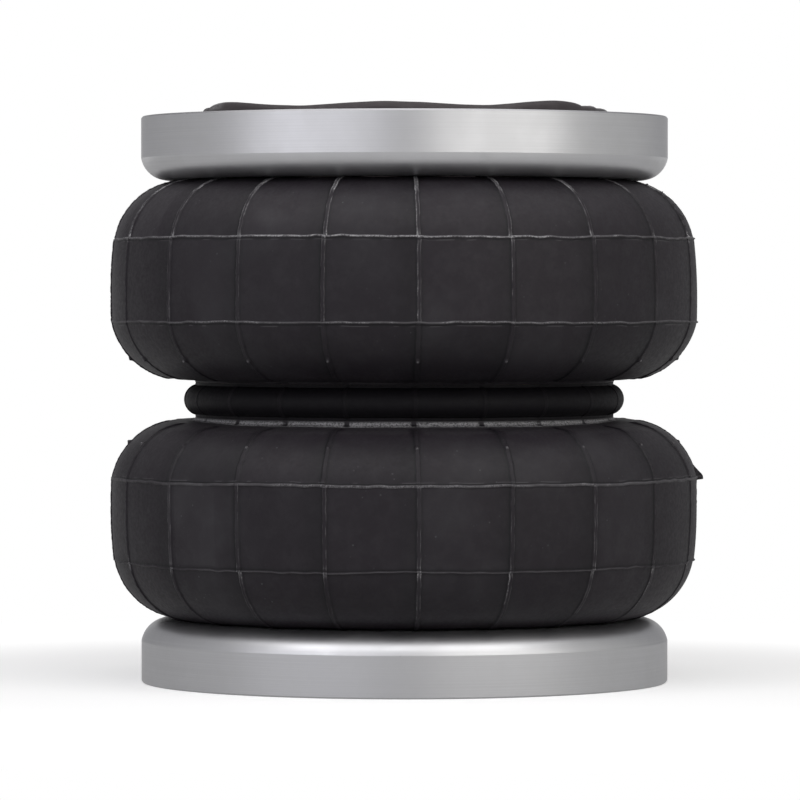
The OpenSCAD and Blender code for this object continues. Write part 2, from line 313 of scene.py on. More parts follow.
def place(phi, r, z):
    """Points from angles, radii and heights."""
    return np.stack([r * np.sin(phi), -r * np.cos(phi), z * np.ones_like(phi)], axis=-1)


def turned(name, grid, sharp_rows=(), flip=False, chalk_and_painted_light=None):
    """A closed mesh from rows of points that go round the axis and round the section."""
    rows, columns = grid.shape[:2]
    i = np.arange(rows)[:, None]
    j = np.arange(columns)[None, :]
    i2, j2 = (i + 1) % rows, (j + 1) % columns
    corners = [i * columns + j, i * columns + j2, i2 * columns + j2, i2 * columns + j]
    if flip:
        corners.reverse()
    faces = np.stack(np.broadcast_arrays(*corners), axis=-1).reshape(-1, 4)
    mesh = bpy.data.meshes.new(name)
    mesh.vertices.add(rows * columns)
    mesh.vertices.foreach_set("co", grid.reshape(-1).astype(np.float32))
    mesh.loops.add(len(faces) * 4)
    mesh.loops.foreach_set("vertex_index", faces.reshape(-1).astype(np.int32))
    mesh.polygons.add(len(faces))
    mesh.polygons.foreach_set("loop_start", np.arange(0, len(faces) * 4, 4, dtype=np.int32))
    mesh.update(calc_edges=True)
    mesh.polygons.foreach_set("use_smooth", np.ones(len(faces), bool))
    if len(sharp_rows):
        ends = np.zeros(len(mesh.edges) * 2, np.int32)
        mesh.edges.foreach_get("vertices", ends)
        row = ends.reshape(-1, 2) // columns
        sharp = (row[:, 0] == row[:, 1]) & np.isin(row[:, 0], list(sharp_rows))
        mesh.edges.foreach_set("use_edge_sharp", sharp)
    if chalk_and_painted_light is not None:
        mesh.attributes.new("chalk_and_painted_light", "FLOAT", "POINT").data.foreach_set(
            "value", chalk_and_painted_light.reshape(-1).astype(np.float32))
    mesh.validate()
    piece = bpy.data.objects.new(name, mesh)
    bpy.context.scene.collection.objects.link(piece)
    return piece


def rib_columns(radius, shift):
    """Angles of the columns at a radius: some across each rib, then even ones to the next rib."""
    centres = RIB_TURN + np.arange(RIB_COUNT + 1) * TURN / RIB_COUNT
    shift = np.concatenate([shift, shift[:, :1]], axis=1)
    middle = centres[None, :] + shift / radius[:, None]
    across = middle[:, :, None] + RIB_ACROSS[None, None, :] / radius[:, None, None]
    start, end = across[:, :-1, -1], across[:, 1:, 0]
    share = (np.arange(PANEL_COLUMNS) + 1) / (PANEL_COLUMNS + 1)
    panel = start[:, :, None] + (end - start)[:, :, None] * share[None, None, :]
    return np.concatenate([across[:, :-1], panel], axis=2).reshape(len(radius), -1)


def across_ribs(values, shape=RIB_SHAPE):
    """Spreads one value per rib and row over that rib's own columns, with 0 between ribs."""
    rib = values[:, :, None] * shape[None, None, :]
    panel = np.zeros(values.shape + (PANEL_COLUMNS,))
    return np.concatenate([rib, panel], axis=2).reshape(len(values), -1)


def row_places(start, end, step, fine=()):
    """Lengths along a line from start to end. Each fine place has its own reach and step."""
    rows = [start]
    while rows[-1] < end:
        near = [fine_step for at, reach, fine_step in fine if abs(rows[-1] - at) < reach]
        rows.append(rows[-1] + (near[0] if near else step))
    rows = np.array(rows[:-1])
    rows = rows[end - rows > step * 0.3]
    return np.r_[rows, end]


def wall(side, layer, part, seed):
    """One band of one layer of a convolution: its wall from ring to split, or its throat."""
    upper = side == "upper"
    out_at, in_at = LAYERS[layer]
    outer, inner = Line(wall_line(out_at)), Line(wall_line(in_at))
    low, high = WAIST_SEAM + SEAM_GAP / 2, RING_SEAM - SEAM_GAP / 2
    if layer == "cover":
        low += COVER_LAP

    def reach(line):
        # Where the band starts and ends along this line
        bottom, split = line.where(low, False), line.where(SPLIT_AT, False)
        return (split, line.where(high)) if part == "wall" else (bottom, split)

    if layer == "cover":
        grid, chalk_and_painted_light = cover_surface(outer, *reach(outer), side, seed)
    else:
        s = row_places(*reach(outer), PLAIN_STEP)
        grid, chalk_and_painted_light = plain_surface(outer, s, PLAIN_COLUMNS), None
    s = row_places(*reach(inner), PLAIN_STEP)
    back = plain_surface(inner, s, grid.shape[1])[::-1]
    grid = np.concatenate([grid, back])
    if chalk_and_painted_light is not None:
        chalk_and_painted_light = np.concatenate([chalk_and_painted_light, np.zeros(back.shape[:2])])
    front_rows = len(grid) - len(back)
    grid[..., 2] = WAIST_Z + (grid[..., 2] if upper else -grid[..., 2])
    sharp = (0, front_rows - 1, front_rows, len(grid) - 1)
    piece = turned(f"{side}_{layer}_{part}", grid, sharp, flip=not upper, chalk_and_painted_light=chalk_and_painted_light)
    if part == "wall":
        follow(piece, side, WAIST_Z - SPLIT_AT, RING_H)
    else:
        follow(piece, side, WAIST_Z - SPLIT_AT, WAIST_Z - WAIST_SEAM)
    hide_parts(f"{side}_{layer}")
    piece.data.materials.append(MATERIALS[layer])


def follow(piece, side, start, end):
    """Bakes a band's transform into its mesh, for either side."""
    if side == "upper":
        start, end = 2 * WAIST_Z - start, 2 * WAIST_Z - end
    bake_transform(piece)


def plain_surface(line, s, columns):
    """A smooth turned face with evenly spaced columns."""
    phi = RIB_TURN + np.arange(columns) / columns * TURN
    r, d = line.at(s)
    return place(phi[None, :] * np.ones((len(s), 1)), r[:, None], d[:, None])


def panel_tones(band, rng):
    """A slightly different tone for each panel between the ribs, with painted shade over the waist-side
    band and towards each panel's right side.
    """
    tone = rng.uniform(-0.2, 0.03, (3, RIB_COUNT)) - np.array([0.12, 0, 0])[:, None]
    share = np.concatenate([np.zeros(len(RIB_ACROSS)), np.arange(1, PANEL_COLUMNS + 1) / PANEL_COLUMNS])
    painted_shade = -0.22 * smooth((share - 0.72) / 0.28)
    return (tone[band][:, :, None] + painted_shade[None, None, :]).reshape(len(band), -1)


def rib_forms(side, s, line, low_rib, high_rib, seed):
    """Sideways shift, height and chalk of each upright rib along the section line."""
    rng = np.random.default_rng(seed)
    band = np.where(s < low_rib, 0, np.where(s < high_rib, 1, 2))
    shape = (len(s), RIB_COUNT)
    shift, height, left, right = np.zeros(shape), np.zeros(shape), np.zeros(shape), np.zeros(shape)
    turn = s / line.length * TURN
    for i in range(RIB_COUNT):
        offsets = rng.uniform(-RIB_OFF, RIB_OFF, 3)
        shift[:, i] = offsets[band] + wander(seed + i, 60, turn) * RIB_SWAY
        tall = rng.uniform(0.75, 1.1, 3)[band] * (1 + 0.2 * wander(seed + 40 + i, 190, turn))
        height[:, i] = RIB_H * tall
        for edge, key in ((left, 80), (right, 120)):
            broken = smooth(0.55 + 1.1 * wander(seed + key + i, 46, turn))
            speckled = 0.75 + 0.25 * wander(seed + key + 400 + i, 170, turn)
            wear_and_light = rng.uniform(0.4, 1.2, 3)[band] * (0.3 + 0.7 * broken)
            edge[:, i] = RIB_CHALK_AND_HIGHLIGHT[band] * wear_and_light * speckled
    if side == "upper":
        # Torn flash on the rib that shows on the right above the level rib
        torn = np.clip(wander(seed + 700, 120, turn), 0, 1) * (s > high_rib)
        height[:, FLASH_RIB] += FLASH_H * torn
    else:
        # A spike of flash on the rib at the right silhouette, flat towards the ring
        spike = (s - low_rib + 4.8 * MM) / (4.6 * MM)
        end = smooth((low_rib + 1.1 * MM - s) / (0.5 * MM))
        height[:, SPIKE_RIB] += SPIKE_H * np.clip(spike, 0, 1) ** 1.3 * end
    return shift, height, left, right, band


def level_rib(seed, at, half_w, high, strong, s, phi, lift, chalk_and_painted_light):
    """Adds a ragged level rib with chalk on it, a fine second line and painted shade on its waist side."""
    across = s[:, None] - at
    ragged = 1 + 0.45 * wander(seed + 2, 420, phi) + 0.35 * wander(seed + 3, 90, phi)
    ridge = np.clip(1 - (np.abs(across) / half_w) ** 3, 0, 1)
    lift = np.maximum(lift, high * np.clip(ragged, 0.35, 2) * ridge)
    patchy = smooth(0.55 + 0.5 * wander(seed + 4, 300, phi) + 0.55 * wander(seed + 5, 30, phi))
    second = np.exp(-(((across + 1.25 * MM) / (0.2 * MM)) ** 2))
    shade = np.exp(-(((across + 0.95 * MM) / (0.3 * MM)) ** 2)) * (1 - second)
    # The chalk is brighter at the front and dimmer towards the sides: a painted highlight.
    wear_and_light = 0.5 + 0.5 * smooth((np.cos(phi) - 0.55) / 0.3)
    marks = strong * wear_and_light * (0.35 + 0.65 * patchy) * smooth(ridge * 1.2)
    marks = marks + 0.4 * strong * second * smooth(wander(seed + 6, 200, phi) + 0.3)
    return lift, np.where(marks > 0.04, np.maximum(chalk_and_painted_light, marks), chalk_and_painted_light - 0.8 * shade)


def upright_chalk_and_light(side, s, line, left, right, ends, nub, high_rib):
    """Chalk, painted highlight and painted shade of the upright ribs and their vent nubs."""
    # Chalk starts away from the waist, and nearer it the ribs are painted dark as shade. It is
    # brightest where the ribs cross the ring-side level rib; on the crest beside the upper ring a
    # painted highlight brightens it, and beside the lower ring painted shade dims it.
    bare = smooth((s - line.where(12 * MM, False)) / (12 * MM))[:, None]
    tip = 0.9 if side == "upper" else -0.4
    tip = 1 + tip * smooth((s - line.where(76 * MM)) / (4 * MM))[:, None]
    tip = tip + 0.8 * np.exp(-(((s - high_rib) / (2 * MM)) ** 2))[:, None]
    bare = bare * tip
    every = ends * np.ones_like(nub)
    chalk_and_painted_light = across_ribs(left * ends * bare, RIB_LEFT) + across_ribs(right * ends * bare, RIB_RIGHT)
    # Chalk on the nubs, painted shade beside each rib, and the ribs near the waist painted dark as shade
    chalk_and_painted_light += across_ribs(0.8 * nub, RIB_MIDDLE) - across_ribs(0.7 * every, RIB_SHADE)
    return chalk_and_painted_light - across_ribs(0.35 * (1 - bare) * every)


def blooms(side, line, s, phi):
    """Soft pale patches on the panels of one side."""
    total = np.zeros_like(phi)
    for bloom_side, turn, height, strong in BLOOMS:
        if bloom_side == side:
            away = np.degrees(phi - math.radians(turn) + math.pi) % 360 - 180
            near = (away / BLOOM_TURN) ** 2 + ((s[:, None] - line.where(height)) / BLOOM_R) ** 2
            total += strong * np.exp(-near)
    return total


def waist_dust_and_highlight(side, s, phi, seed):
    """Chalk and a painted highlight on the wall beside the girdle, broken where the ribs' feet cross it."""
    dust_and_highlight = smooth((WAIST_EDGE_AT + 0.3 * MM - s) / (0.6 * MM)) * smooth((s - 0.5 * MM) / MM)
    cloudy = smooth(0.6 + 0.6 * wander(seed + 50, 40, phi) + 0.3 * wander(seed + 51, 160, phi))
    feet = across_ribs(np.ones((len(s), RIB_COUNT)), RIB_FOOT)
    return WAIST_EDGE_CHALK_AND_HIGHLIGHT[side] * dust_and_highlight[:, None] * (0.9 + 0.3 * cloudy - 1.3 * feet)


def cover_surface(line, start, end, side, seed):
    """The ribbed outside of a cover, and for each point of it how chalky it is, with painted highlights,
    and below 0 how much painted shade it has.
    """
    low_rib = line.where(LOW_RIB_AT, False)
    high_rib = line.where(HIGH_RIB_AT)
    nub_at = line.where(NUB_AT[side], False)
    s = row_places(start, end, COVER_STEP, (
        (low_rib, 1.5 * MM, LEVEL_RIB_STEP), (high_rib, 1.5 * MM, LEVEL_RIB_STEP),
        (nub_at, 2 * MM, NUB_STEP), (WAIST_EDGE_AT / 2, 2.2 * MM, WAIST_EDGE_STEP),
    ))
    shift, height, left, right, band = rib_forms(side, s, line, low_rib, high_rib, seed)
    # Ribs fade where the wall turns in to the ring and to the waist
    ends = smooth((s - line.where(BAG_LOW + 0.2 * MM, False)) / (3 * MM))
    ends = (ends * smooth((line.length - s) / (9 * MM)))[:, None]
    rng = np.random.default_rng(seed + 9)
    nub = np.exp(-(((s - nub_at) / NUB_R) ** 2))[:, None] * rng.uniform(0.5, 1.2, RIB_COUNT)
    phi = rib_columns(line.at(s)[0], shift)
    lift = across_ribs(height * ends) + across_ribs(nub * NUB_H, RIB_MIDDLE)
    chalk_and_painted_light = upright_chalk_and_light(side, s, line, left, right, ends, nub, high_rib)
    tones = panel_tones(band, rng)
    # Panels on the lower convolution's crest, beside the waist, are drawn to a lighter tone
    if side == "lower":
        crest_share = smooth((line.where(19 * MM, False) - s) / (14 * MM))[:, None]
        tones += (CREST_TONE - tones) * crest_share
    chalk_and_painted_light += tones + blooms(side, line, s, phi) + waist_dust_and_highlight(side, s, phi, seed)
    # The level ribs wander up and down, and take the wall's rows with them
    row = s[:, None] * np.ones_like(phi)
    for at, key, (half_w, strong) in zip((low_rib, high_rib), (200, 230), LEVEL_RIBS[side]):
        sway = wander(seed + key, 150, phi) * 0.25 * MM + wander(seed + key + 1, 22, phi) * 0.35 * MM
        row = row + sway * np.exp(-(((row - at) / (2.5 * MM)) ** 2))
        lift, chalk_and_painted_light = level_rib(seed + key, at, half_w, LEVEL_RIB_H, strong, s, phi, lift, chalk_and_painted_light)
    lift, chalk_and_painted_light = level_rib(seed + 260, WAIST_EDGE_AT, WAIST_EDGE_W, WAIST_EDGE_H,
                            WAIST_EDGE_CHALK_AND_HIGHLIGHT[side], s, phi, lift, chalk_and_painted_light)
    # The middle mould ring bulges a little, and stands a little proud of the ring-side one
    along = np.clip((s - low_rib) / (high_rib - low_rib), 0, 1)
    bulge = CROWN_BULGE * 4 * along * (1 - along)
    step = 0.3 * MM * smooth(along) * (s <= high_rib)
    lift = lift + (bulge + step)[:, None] + 0.1 * MM * ripple(seed + 300, phi, row)
    if side == "lower":
        crest = smooth(s / WAIST_EDGE_AT) * smooth((line.where(11.5 * MM, False) - s) / (9 * MM))
        lift -= FRONT_DIP * crest[:, None] * smooth(1.3 * np.cos(phi))
    r, d = line.at(row)
    nr, nd = line.normal(row)
    return place(phi, r + nr * lift, d + nd * lift), np.clip(chalk_and_painted_light, -1, 1)


def corner_rows(section, least=35):
    """Rows of a closed section at which it turns by more than an angle in degrees."""
    ahead = np.roll(section, -1, axis=0) - section
    heading = np.degrees(np.arctan2(ahead[:, 1], ahead[:, 0]))
    turn = (heading - np.roll(heading, 1) + 180) % 360 - 180
    return np.where(np.abs(turn) > least)[0]


def girdle_rubber():
    """The sleeve of rubber over the hoop, with a round bulge and a square channel inside."""
    low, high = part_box("girdle_cover")
    half = (high.z - low.z) / 2 + GIRDLE_LAP
    mid = (WAIST_NECK_R + GIRDLE_OUT - GIRDLE_BULGE_R, 0)
    turn = math.degrees(math.acos((WAIST_NECK_R - mid[0]) / GIRDLE_BULGE_R))
    line = Line(np.vstack([
        [(WAIST_NECK_R, -half)], arc(mid, GIRDLE_BULGE_R, -turn, turn), [(WAIST_NECK_R, half)],
    ]))
    bore, side = WAIST_NECK_R - LAYERS["cover"][1], HOOP_CHANNEL / 2
    inside = np.array([
        (bore, half), (bore, side), (bore + HOOP_CHANNEL, side),
        (bore + HOOP_CHANNEL, -side), (bore, -side), (bore, -half),
    ])
    s = np.linspace(0, line.length, 70)
    r, d = line.at(s)
    rng = np.random.default_rng(500)
    edge = 1 - np.abs(s / line.length - 0.5) * 2
    rib_end = smooth(edge * 5)[:, None]
    shift = rng.uniform(-0.4, 0.4, RIB_COUNT) * MM * np.ones((len(s), 1))
    height = 0.4 * MM * rng.uniform(0.5, 1.1, RIB_COUNT) * rib_end
    # The girdle's rubber is painted dark all over as shade, with chalk on its ribs
    chalk_and_painted_light = across_ribs(0.45 * rng.uniform(0.2, 1, RIB_COUNT) * rib_end) - 0.7
    phi = rib_columns(r, shift)
    lift = across_ribs(height) + 0.08 * MM * ripple(510, phi, s[:, None]) * smooth(edge * 8)[:, None]
    nr, nd = line.normal(s, 0.2 * MM)
    skin = place(phi, r[:, None] + nr[:, None] * lift, d[:, None] + nd[:, None] * lift)
    even = RIB_TURN + np.arange(skin.shape[1]) / skin.shape[1] * TURN
    back = place(even * np.ones((len(inside), 1)), inside[:, :1], inside[:, 1:])
    grid = np.concatenate([skin, back])
    grid[..., 2] += WAIST_Z
    sharp = corner_rows(np.vstack([np.column_stack([r, d]), inside]))
    chalk_and_painted_light = np.concatenate([chalk_and_painted_light, np.zeros(back.shape[:2])])
    piece = turned("girdle_rubber", grid, sharp, chalk_and_painted_light=chalk_and_painted_light)
    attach(piece, "girdle")
    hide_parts("girdle_cover")
    piece.data.materials.append(MATERIALS["girdle"])


def lip_height(phi):
    """Height of the lip's top over the ring: even waves, a little unevenness, and lumps."""
    wave = np.cos(LIP_CRESTS * (phi - LIP_TURN))
    height = LIP_H + LIP_WAVE * wave + 0.1 * MM * wander(602, 60, phi)
    for turn, width, rise in LIP_LUMPS:
        away = (np.degrees(phi) - turn + 180) % 360 - 180
        height = height + rise * np.exp(-((away / width) ** 2))
    return height


def upper_bead():
    """The upper bead round its plies and wire, with the wavy lip on its top."""
    # The neck of the bead's rubber has a slot for the plies, which come up from the wall
    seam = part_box("upper_bead_rubber")[0].z
    bore = NECK_R - LAYERS["liner"][1]
    roll = (ROLL_AT[0], WAIST_Z + ROLL_AT[1])
    roll_turn = 180 + math.degrees(math.asin((roll[1] - seam) / ROLL_R))
    slot_out = NECK_R - LAYERS["outer_ply"][0] + 0.1 * MM
    slot_in = NECK_R - LAYERS["inner_ply"][1] - 0.1 * MM
    slot_turn = math.degrees(math.acos((slot_out - CORE_AT[0]) / WRAP_R))
    corner = (BEAD_R - BEAD_CORNER_R, BEAD_BOTTOM + BEAD_CORNER_R)
    top, bevel = TOTAL_H, 0.4 * MM
    before = np.vstack([
        arc(roll, ROLL_R, roll_turn, 180, 0.4 * MM),
        [(NECK_R, BEAD_BOTTOM)],
        arc(corner, BEAD_CORNER_R, -90, 0),
        [(BEAD_R, top - bevel), (BEAD_R - bevel, top)],
    ])
    after = np.vstack([
        [(bore + bevel, top), (bore, top - bevel), (bore, seam)],
        [(slot_in, seam), (slot_in, CORE_AT[1])],
        arc(CORE_AT, WRAP_R, 180, -slot_turn, 0.6 * MM),
        [(slot_out, seam)],
    ])
    lip_line = np.array([(r * MM, top) for r, _ in LIP_SECTION])
    section = np.vstack([before, lip_line, after])
    share = np.concatenate([np.zeros(len(before)), [h for _, h in LIP_SECTION], np.zeros(len(after))])
    phi = np.arange(LIP_COLUMNS) / LIP_COLUMNS * TURN
    height = lip_height(phi)
    z = section[:, 1:] + share[:, None] * height
    uneven = 0.12 * MM * wander(603, 90, phi) * (share[:, None] > 0)
    grid = place(phi * np.ones((len(section), 1)), section[:, :1] + uneven, z)
    flat = np.column_stack([section[:, 0], section[:, 1] + share * LIP_H])
    # Faint scuffs with painted highlight on the lip's top, more of them away from the front
    rows = np.arange(len(section))[:, None] * 0.7 * MM
    scuffs_and_highlight = smooth(0.9 * ripple(604, phi, rows, 40, 9 * MM)) * smooth((0.75 - np.cos(phi)) / 0.3)
    chalk_and_painted_light = 0.3 * scuffs_and_highlight * (share[:, None] > 0.5)
    piece = turned("upper_bead_and_lip", grid, corner_rows(flat, 50), chalk_and_painted_light=chalk_and_painted_light)
    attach(piece, "upper_bead")
    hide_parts("upper_bead_rubber")
    piece.data.materials.append(MATERIALS["bead"])


def new_material(name):
    """A material with its node tree and its shader."""
    material = bpy.data.materials.new(name)
    material.use_nodes = True
    return material, material.node_tree, material.node_tree.nodes["Principled BSDF"]


def node(tree, kind, inputs=None, **settings):
    """A new shader node with its settings, and its inputs set to values or linked to sockets."""
    made = tree.nodes.new(kind)
    for key, value in settings.items():
        setattr(made, key, value)
    for key, value in (inputs or {}).items():
        if isinstance(value, bpy.types.NodeSocket):
            tree.links.new(value, made.inputs[key])
        else:
            made.inputs[key].default_value = value
    return made


def noise(tree, place_at, scale, detail=3, rough=0.55):
    """Soft random noise from 0 to 1."""
    return node(tree, "ShaderNodeTexNoise", {
        "Vector": place_at, "Scale": scale, "Detail": detail, "Roughness": rough}).outputs["Fac"]


def between(tree, value, low, high, out_low=0.0, out_high=1.0):
    """A value carried from one range to another, smoothly and without leaving it."""
    return node(tree, "ShaderNodeMapRange", {
        "Value": value, "From Min": low, "From Max": high, "To Min": out_low, "To Max": out_high,
    }, interpolation_type="SMOOTHSTEP").outputs["Result"]


def times(tree, a, b, kind="MULTIPLY"):
    """The product of two values, or their sum with ADD, kept between 0 and 1."""
    return node(tree, "ShaderNodeMath", {0: a, 1: b}, operation=kind, use_clamp=True).outputs[0]


def mixed(tree, factor, a, b):
    """A colour between a, at factor 0, and b, at factor 1."""
    made = node(tree, "ShaderNodeMix", data_type="RGBA")
    for key, value in (("Factor_Float", factor), ("A_Color", a), ("B_Color", b)):
        socket = next(x for x in made.inputs if x.identifier == key)
        if isinstance(value, bpy.types.NodeSocket):
            tree.links.new(value, socket)
        else:
            socket.default_value = value
    return next(x for x in made.outputs if x.identifier == "Result_Color")


def moulded_rubber(name, dark, dusty, rough, specular=0.26, chalk_and_painted_light=True):
    """Matte moulded rubber with bloom in soft patches, specks of dust, chalky ridges with painted
    highlights, and painted shade.
    """
    material, tree, shader = new_material(name)
    at = node(tree, "ShaderNodeTexCoord").outputs["Object"]
    patches = between(tree, noise(tree, at, 22, 3, 0.5), 0.5, 0.78)
    grain = noise(tree, at, 700, 4, 0.7)
    bloom = times(tree, patches, between(tree, grain, 0.2, 0.9, 0.5, 1.0))
    cells = node(tree, "ShaderNodeTexVoronoi", {"Vector": at, "Scale": 330.0}).outputs["Distance"]
    specks = times(tree, between(tree, cells, 0.16, 0.05), between(tree, noise(tree, at, 60, 2), 0.55, 0.7))
    mottle = between(tree, noise(tree, at, 170, 4, 0.65), 0.4, 0.7, 0.0, 0.12)
    marks = times(tree, times(tree, times(tree, bloom, 0.35), mottle, "ADD"), specks, "ADD")
    colour = mixed(tree, marks, (*dark, 1), (*dusty, 1))
    if chalk_and_painted_light:
        ridge = node(tree, "ShaderNodeAttribute", attribute_name="chalk_and_painted_light").outputs["Fac"]
        # Below 0 the point attribute paints shade; above 0 it paints chalk and highlight.
        shade = times(tree, ridge, -1.0)
        colour = mixed(tree, shade, colour, (*RUBBER_SHADE, 1))
        # Strong chalk is broken up finely, and faint dust isn't
        broken = between(tree, noise(tree, at, 1500, 3, 0.7), 0.38, 0.62, 0.25, 1.5)
        broken = between(tree, ridge, 0.12, 0.3, 1.0, broken)
        colour = mixed(tree, times(tree, ridge, broken), colour, (*RUBBER_CHALK_AND_HIGHLIGHT, 1))
    tree.links.new(colour, shader.inputs["Base Color"])
    tree.links.new(between(tree, grain, 0.3, 0.7, rough - 0.07, rough + 0.07), shader.inputs["Roughness"])
    shader.inputs["Specular IOR Level"].default_value = specular
    skin = node(tree, "ShaderNodeBump", {
        "Height": noise(tree, at, 1300, 4, 0.7), "Strength": 0.2, "Distance": 0.03 * MM})
    tree.links.new(skin.outputs[0], shader.inputs["Normal"])
    return material


def turned_aluminium():
    """Satin aluminium, turned on a lathe: fine rings in it, a few specks, soft clouding, and painted shade
    on the upper ring's bevelled edge.
    """
    material, tree, shader = new_material("turned_aluminium")
    at = node(tree, "ShaderNodeTexCoord").outputs["Object"]
    # The fine rings follow height on the ring's sides and radius on its flat faces
    parts = node(tree, "ShaderNodeSeparateXYZ", {0: at})
    level = node(tree, "ShaderNodeCombineXYZ", {0: parts.outputs[0], 1: parts.outputs[1]}).outputs[0]
    radius = node(tree, "ShaderNodeVectorMath", {0: level}, operation="LENGTH").outputs["Value"]
    heading = node(tree, "ShaderNodeVectorMath", {0: level}, operation="NORMALIZE").outputs["Vector"]
    stretch = node(tree, "ShaderNodeMath", {0: parts.outputs[2], 1: LATHE_RINGS}, operation="MULTIPLY")
    axes = node(tree, "ShaderNodeSeparateXYZ", {0: heading})
    lathe = node(tree, "ShaderNodeCombineXYZ", {
        0: axes.outputs[0], 1: axes.outputs[1], 2: stretch.outputs[0]}).outputs[0]
    deep = node(tree, "ShaderNodeMath", {0: radius, 1: LATHE_RINGS}, operation="MULTIPLY").outputs[0]
    rings = node(tree, "ShaderNodeTexNoise", {
        "Vector": lathe, "W": deep, "Scale": 1.0, "Detail": 3.0}, noise_dimensions="4D").outputs["Fac"]
    clouds = noise(tree, at, 45, 4, 0.6)
    cells = node(tree, "ShaderNodeTexVoronoi", {"Vector": at, "Scale": 120.0}).outputs["Distance"]
    specks = times(tree, between(tree, cells, 0.07, 0.02), between(tree, noise(tree, at, 30, 2), 0.5, 0.65))
    colour = mixed(tree, between(tree, rings, 0.3, 0.7), (*METAL_DARK, 1), (*METAL_PALE, 1))
    colour = mixed(tree, between(tree, clouds, 0.35, 0.65, 0.0, 0.3), colour, (*METAL_CLOUD, 1))
    colour = mixed(tree, times(tree, specks, 0.35), colour, (*METAL_SPECK_AND_SHADE, 1))
    # Painted shade darkens the upper ring's bevelled outer edge below its face
    out, up = RING_R - EDGE_BEVEL, TOTAL_H - EDGE_BEVEL
    edge = times(tree, between(tree, radius, out - 0.05 * MM, out + 0.05 * MM),
                 between(tree, parts.outputs[2], up - 0.05 * MM, up + 0.05 * MM))
    colour = mixed(tree, times(tree, edge, 0.5), colour, (*METAL_SPECK_AND_SHADE, 1))
    tree.links.new(colour, shader.inputs["Base Color"])
    tree.links.new(between(tree, clouds, 0.3, 0.7, 0.38, 0.44), shader.inputs["Roughness"])
    shader.inputs["Metallic"].default_value = 1
    shader.inputs["Anisotropic"].default_value = 0.2
    shader.inputs["Anisotropic Rotation"].default_value = 0.25
    tangent = node(tree, "ShaderNodeTangent", direction_type="RADIAL", axis="Z")
    tree.links.new(tangent.outputs[0], shader.inputs["Tangent"])
    skin = node(tree, "ShaderNodeBump", {"Height": rings, "Strength": 0.12, "Distance": 0.02 * MM})
    tree.links.new(skin.outputs[0], shader.inputs["Normal"])
    return material


def cord_fabric(name, base, slant):
    """Rubbered cord ply: parallel cords that run at a bias angle round the wall."""
    material, tree, shader = new_material(name)
    at = node(tree, "ShaderNodeTexCoord").outputs["Object"]
    turned_at = node(tree, "ShaderNodeMapping", {"Vector": at, "Rotation": (0, slant, slant)}).outputs[0]
    cords = node(tree, "ShaderNodeTexWave", {
        "Vector": turned_at, "Scale": 260.0, "Distortion": 1.5, "Detail": 2.0}).outputs["Fac"]
    colour = mixed(tree, cords, (*[c * 0.45 for c in base], 1), (*base, 1))
    tree.links.new(colour, shader.inputs["Base Color"])
    shader.inputs["Roughness"].default_value = 0.8
    skin = node(tree, "ShaderNodeBump", {"Height": cords, "Strength": 0.5, "Distance": 0.2 * MM})
    tree.links.new(skin.outputs[0], shader.inputs["Normal"])
    return material


def bead_wire():
    """Bronze-coated steel wire with faint drawing marks."""
    material, tree, shader = new_material("bead_wire")
    at = node(tree, "ShaderNodeTexCoord").outputs["Object"]
    marks = noise(tree, at, 500, 3, 0.6)
    colour = mixed(tree, marks, (*BRONZE_DARK, 1), (*BRONZE_PALE, 1))
    tree.links.new(colour, shader.inputs["Base Color"])
    tree.links.new(between(tree, marks, 0.3, 0.7, 0.28, 0.45), shader.inputs["Roughness"])
    shader.inputs["Metallic"].default_value = 1
    return material


# Colours of the aluminium, the rubber, the cord plies and the wire
METAL_PALE = (0.62, 0.62, 0.635)
METAL_DARK = (0.58, 0.58, 0.594)
METAL_CLOUD = (0.54, 0.54, 0.546)
METAL_SPECK_AND_SHADE = (0.3, 0.3, 0.31)
RUBBER_DARK = (0.0155, 0.0122, 0.0162)
RUBBER_DUST = (0.062, 0.061, 0.066)
# The rubber's chalk colour also paints highlights, and its shade colour paints shade
RUBBER_CHALK_AND_HIGHLIGHT = (0.34, 0.335, 0.345)
RUBBER_SHADE = (0.002, 0.002, 0.003)
BEAD_DARK = (0.036, 0.03, 0.032)
BEAD_DUST = (0.1, 0.09, 0.092)
LINER_DARK = (0.012, 0.012, 0.012)
LINER_DUST = (0.05, 0.05, 0.05)
OUTER_CORD = (0.35, 0.27, 0.16)
INNER_CORD = (0.3, 0.24, 0.15)
CORD_SLANT = 0.7
BRONZE_DARK = (0.3, 0.19, 0.09)
BRONZE_PALE = (0.62, 0.45, 0.26)
# How fine the lathe's rings are, and the bevel on the aluminium rings' outer edge
LATHE_RINGS = 3200.0
EDGE_BEVEL = 0.6 * MM

MATERIALS = {
    "cover": moulded_rubber("cover_rubber", RUBBER_DARK, RUBBER_DUST, 0.55),
    "bead": moulded_rubber("bead_rubber", BEAD_DARK, BEAD_DUST, 0.42),
    "girdle": moulded_rubber("girdle_rubber", RUBBER_DARK, RUBBER_DUST, 0.62, specular=0.18),
    "liner": moulded_rubber("liner_rubber", LINER_DARK, LINER_DUST, 0.5, chalk_and_painted_light=False),
    "outer_ply": cord_fabric("cord_ply", OUTER_CORD, CORD_SLANT),
    "inner_ply": cord_fabric("crossed_cord_ply", INNER_CORD, -CORD_SLANT),
    "wire": bead_wire(),
    "ring": turned_aluminium(),
}
# The look of each node that stays as it is in the CAD, by the end of its name
CAD_LOOKS = {
    "flange_ring": "ring", "bead_core": "wire", "girdle_hoop": "wire", "bead_plies": "outer_ply",
    "bead_rubber": "bead", "girdle_outer_ply": "outer_ply", "girdle_inner_ply": "inner_ply",
    "girdle_liner": "liner",
}


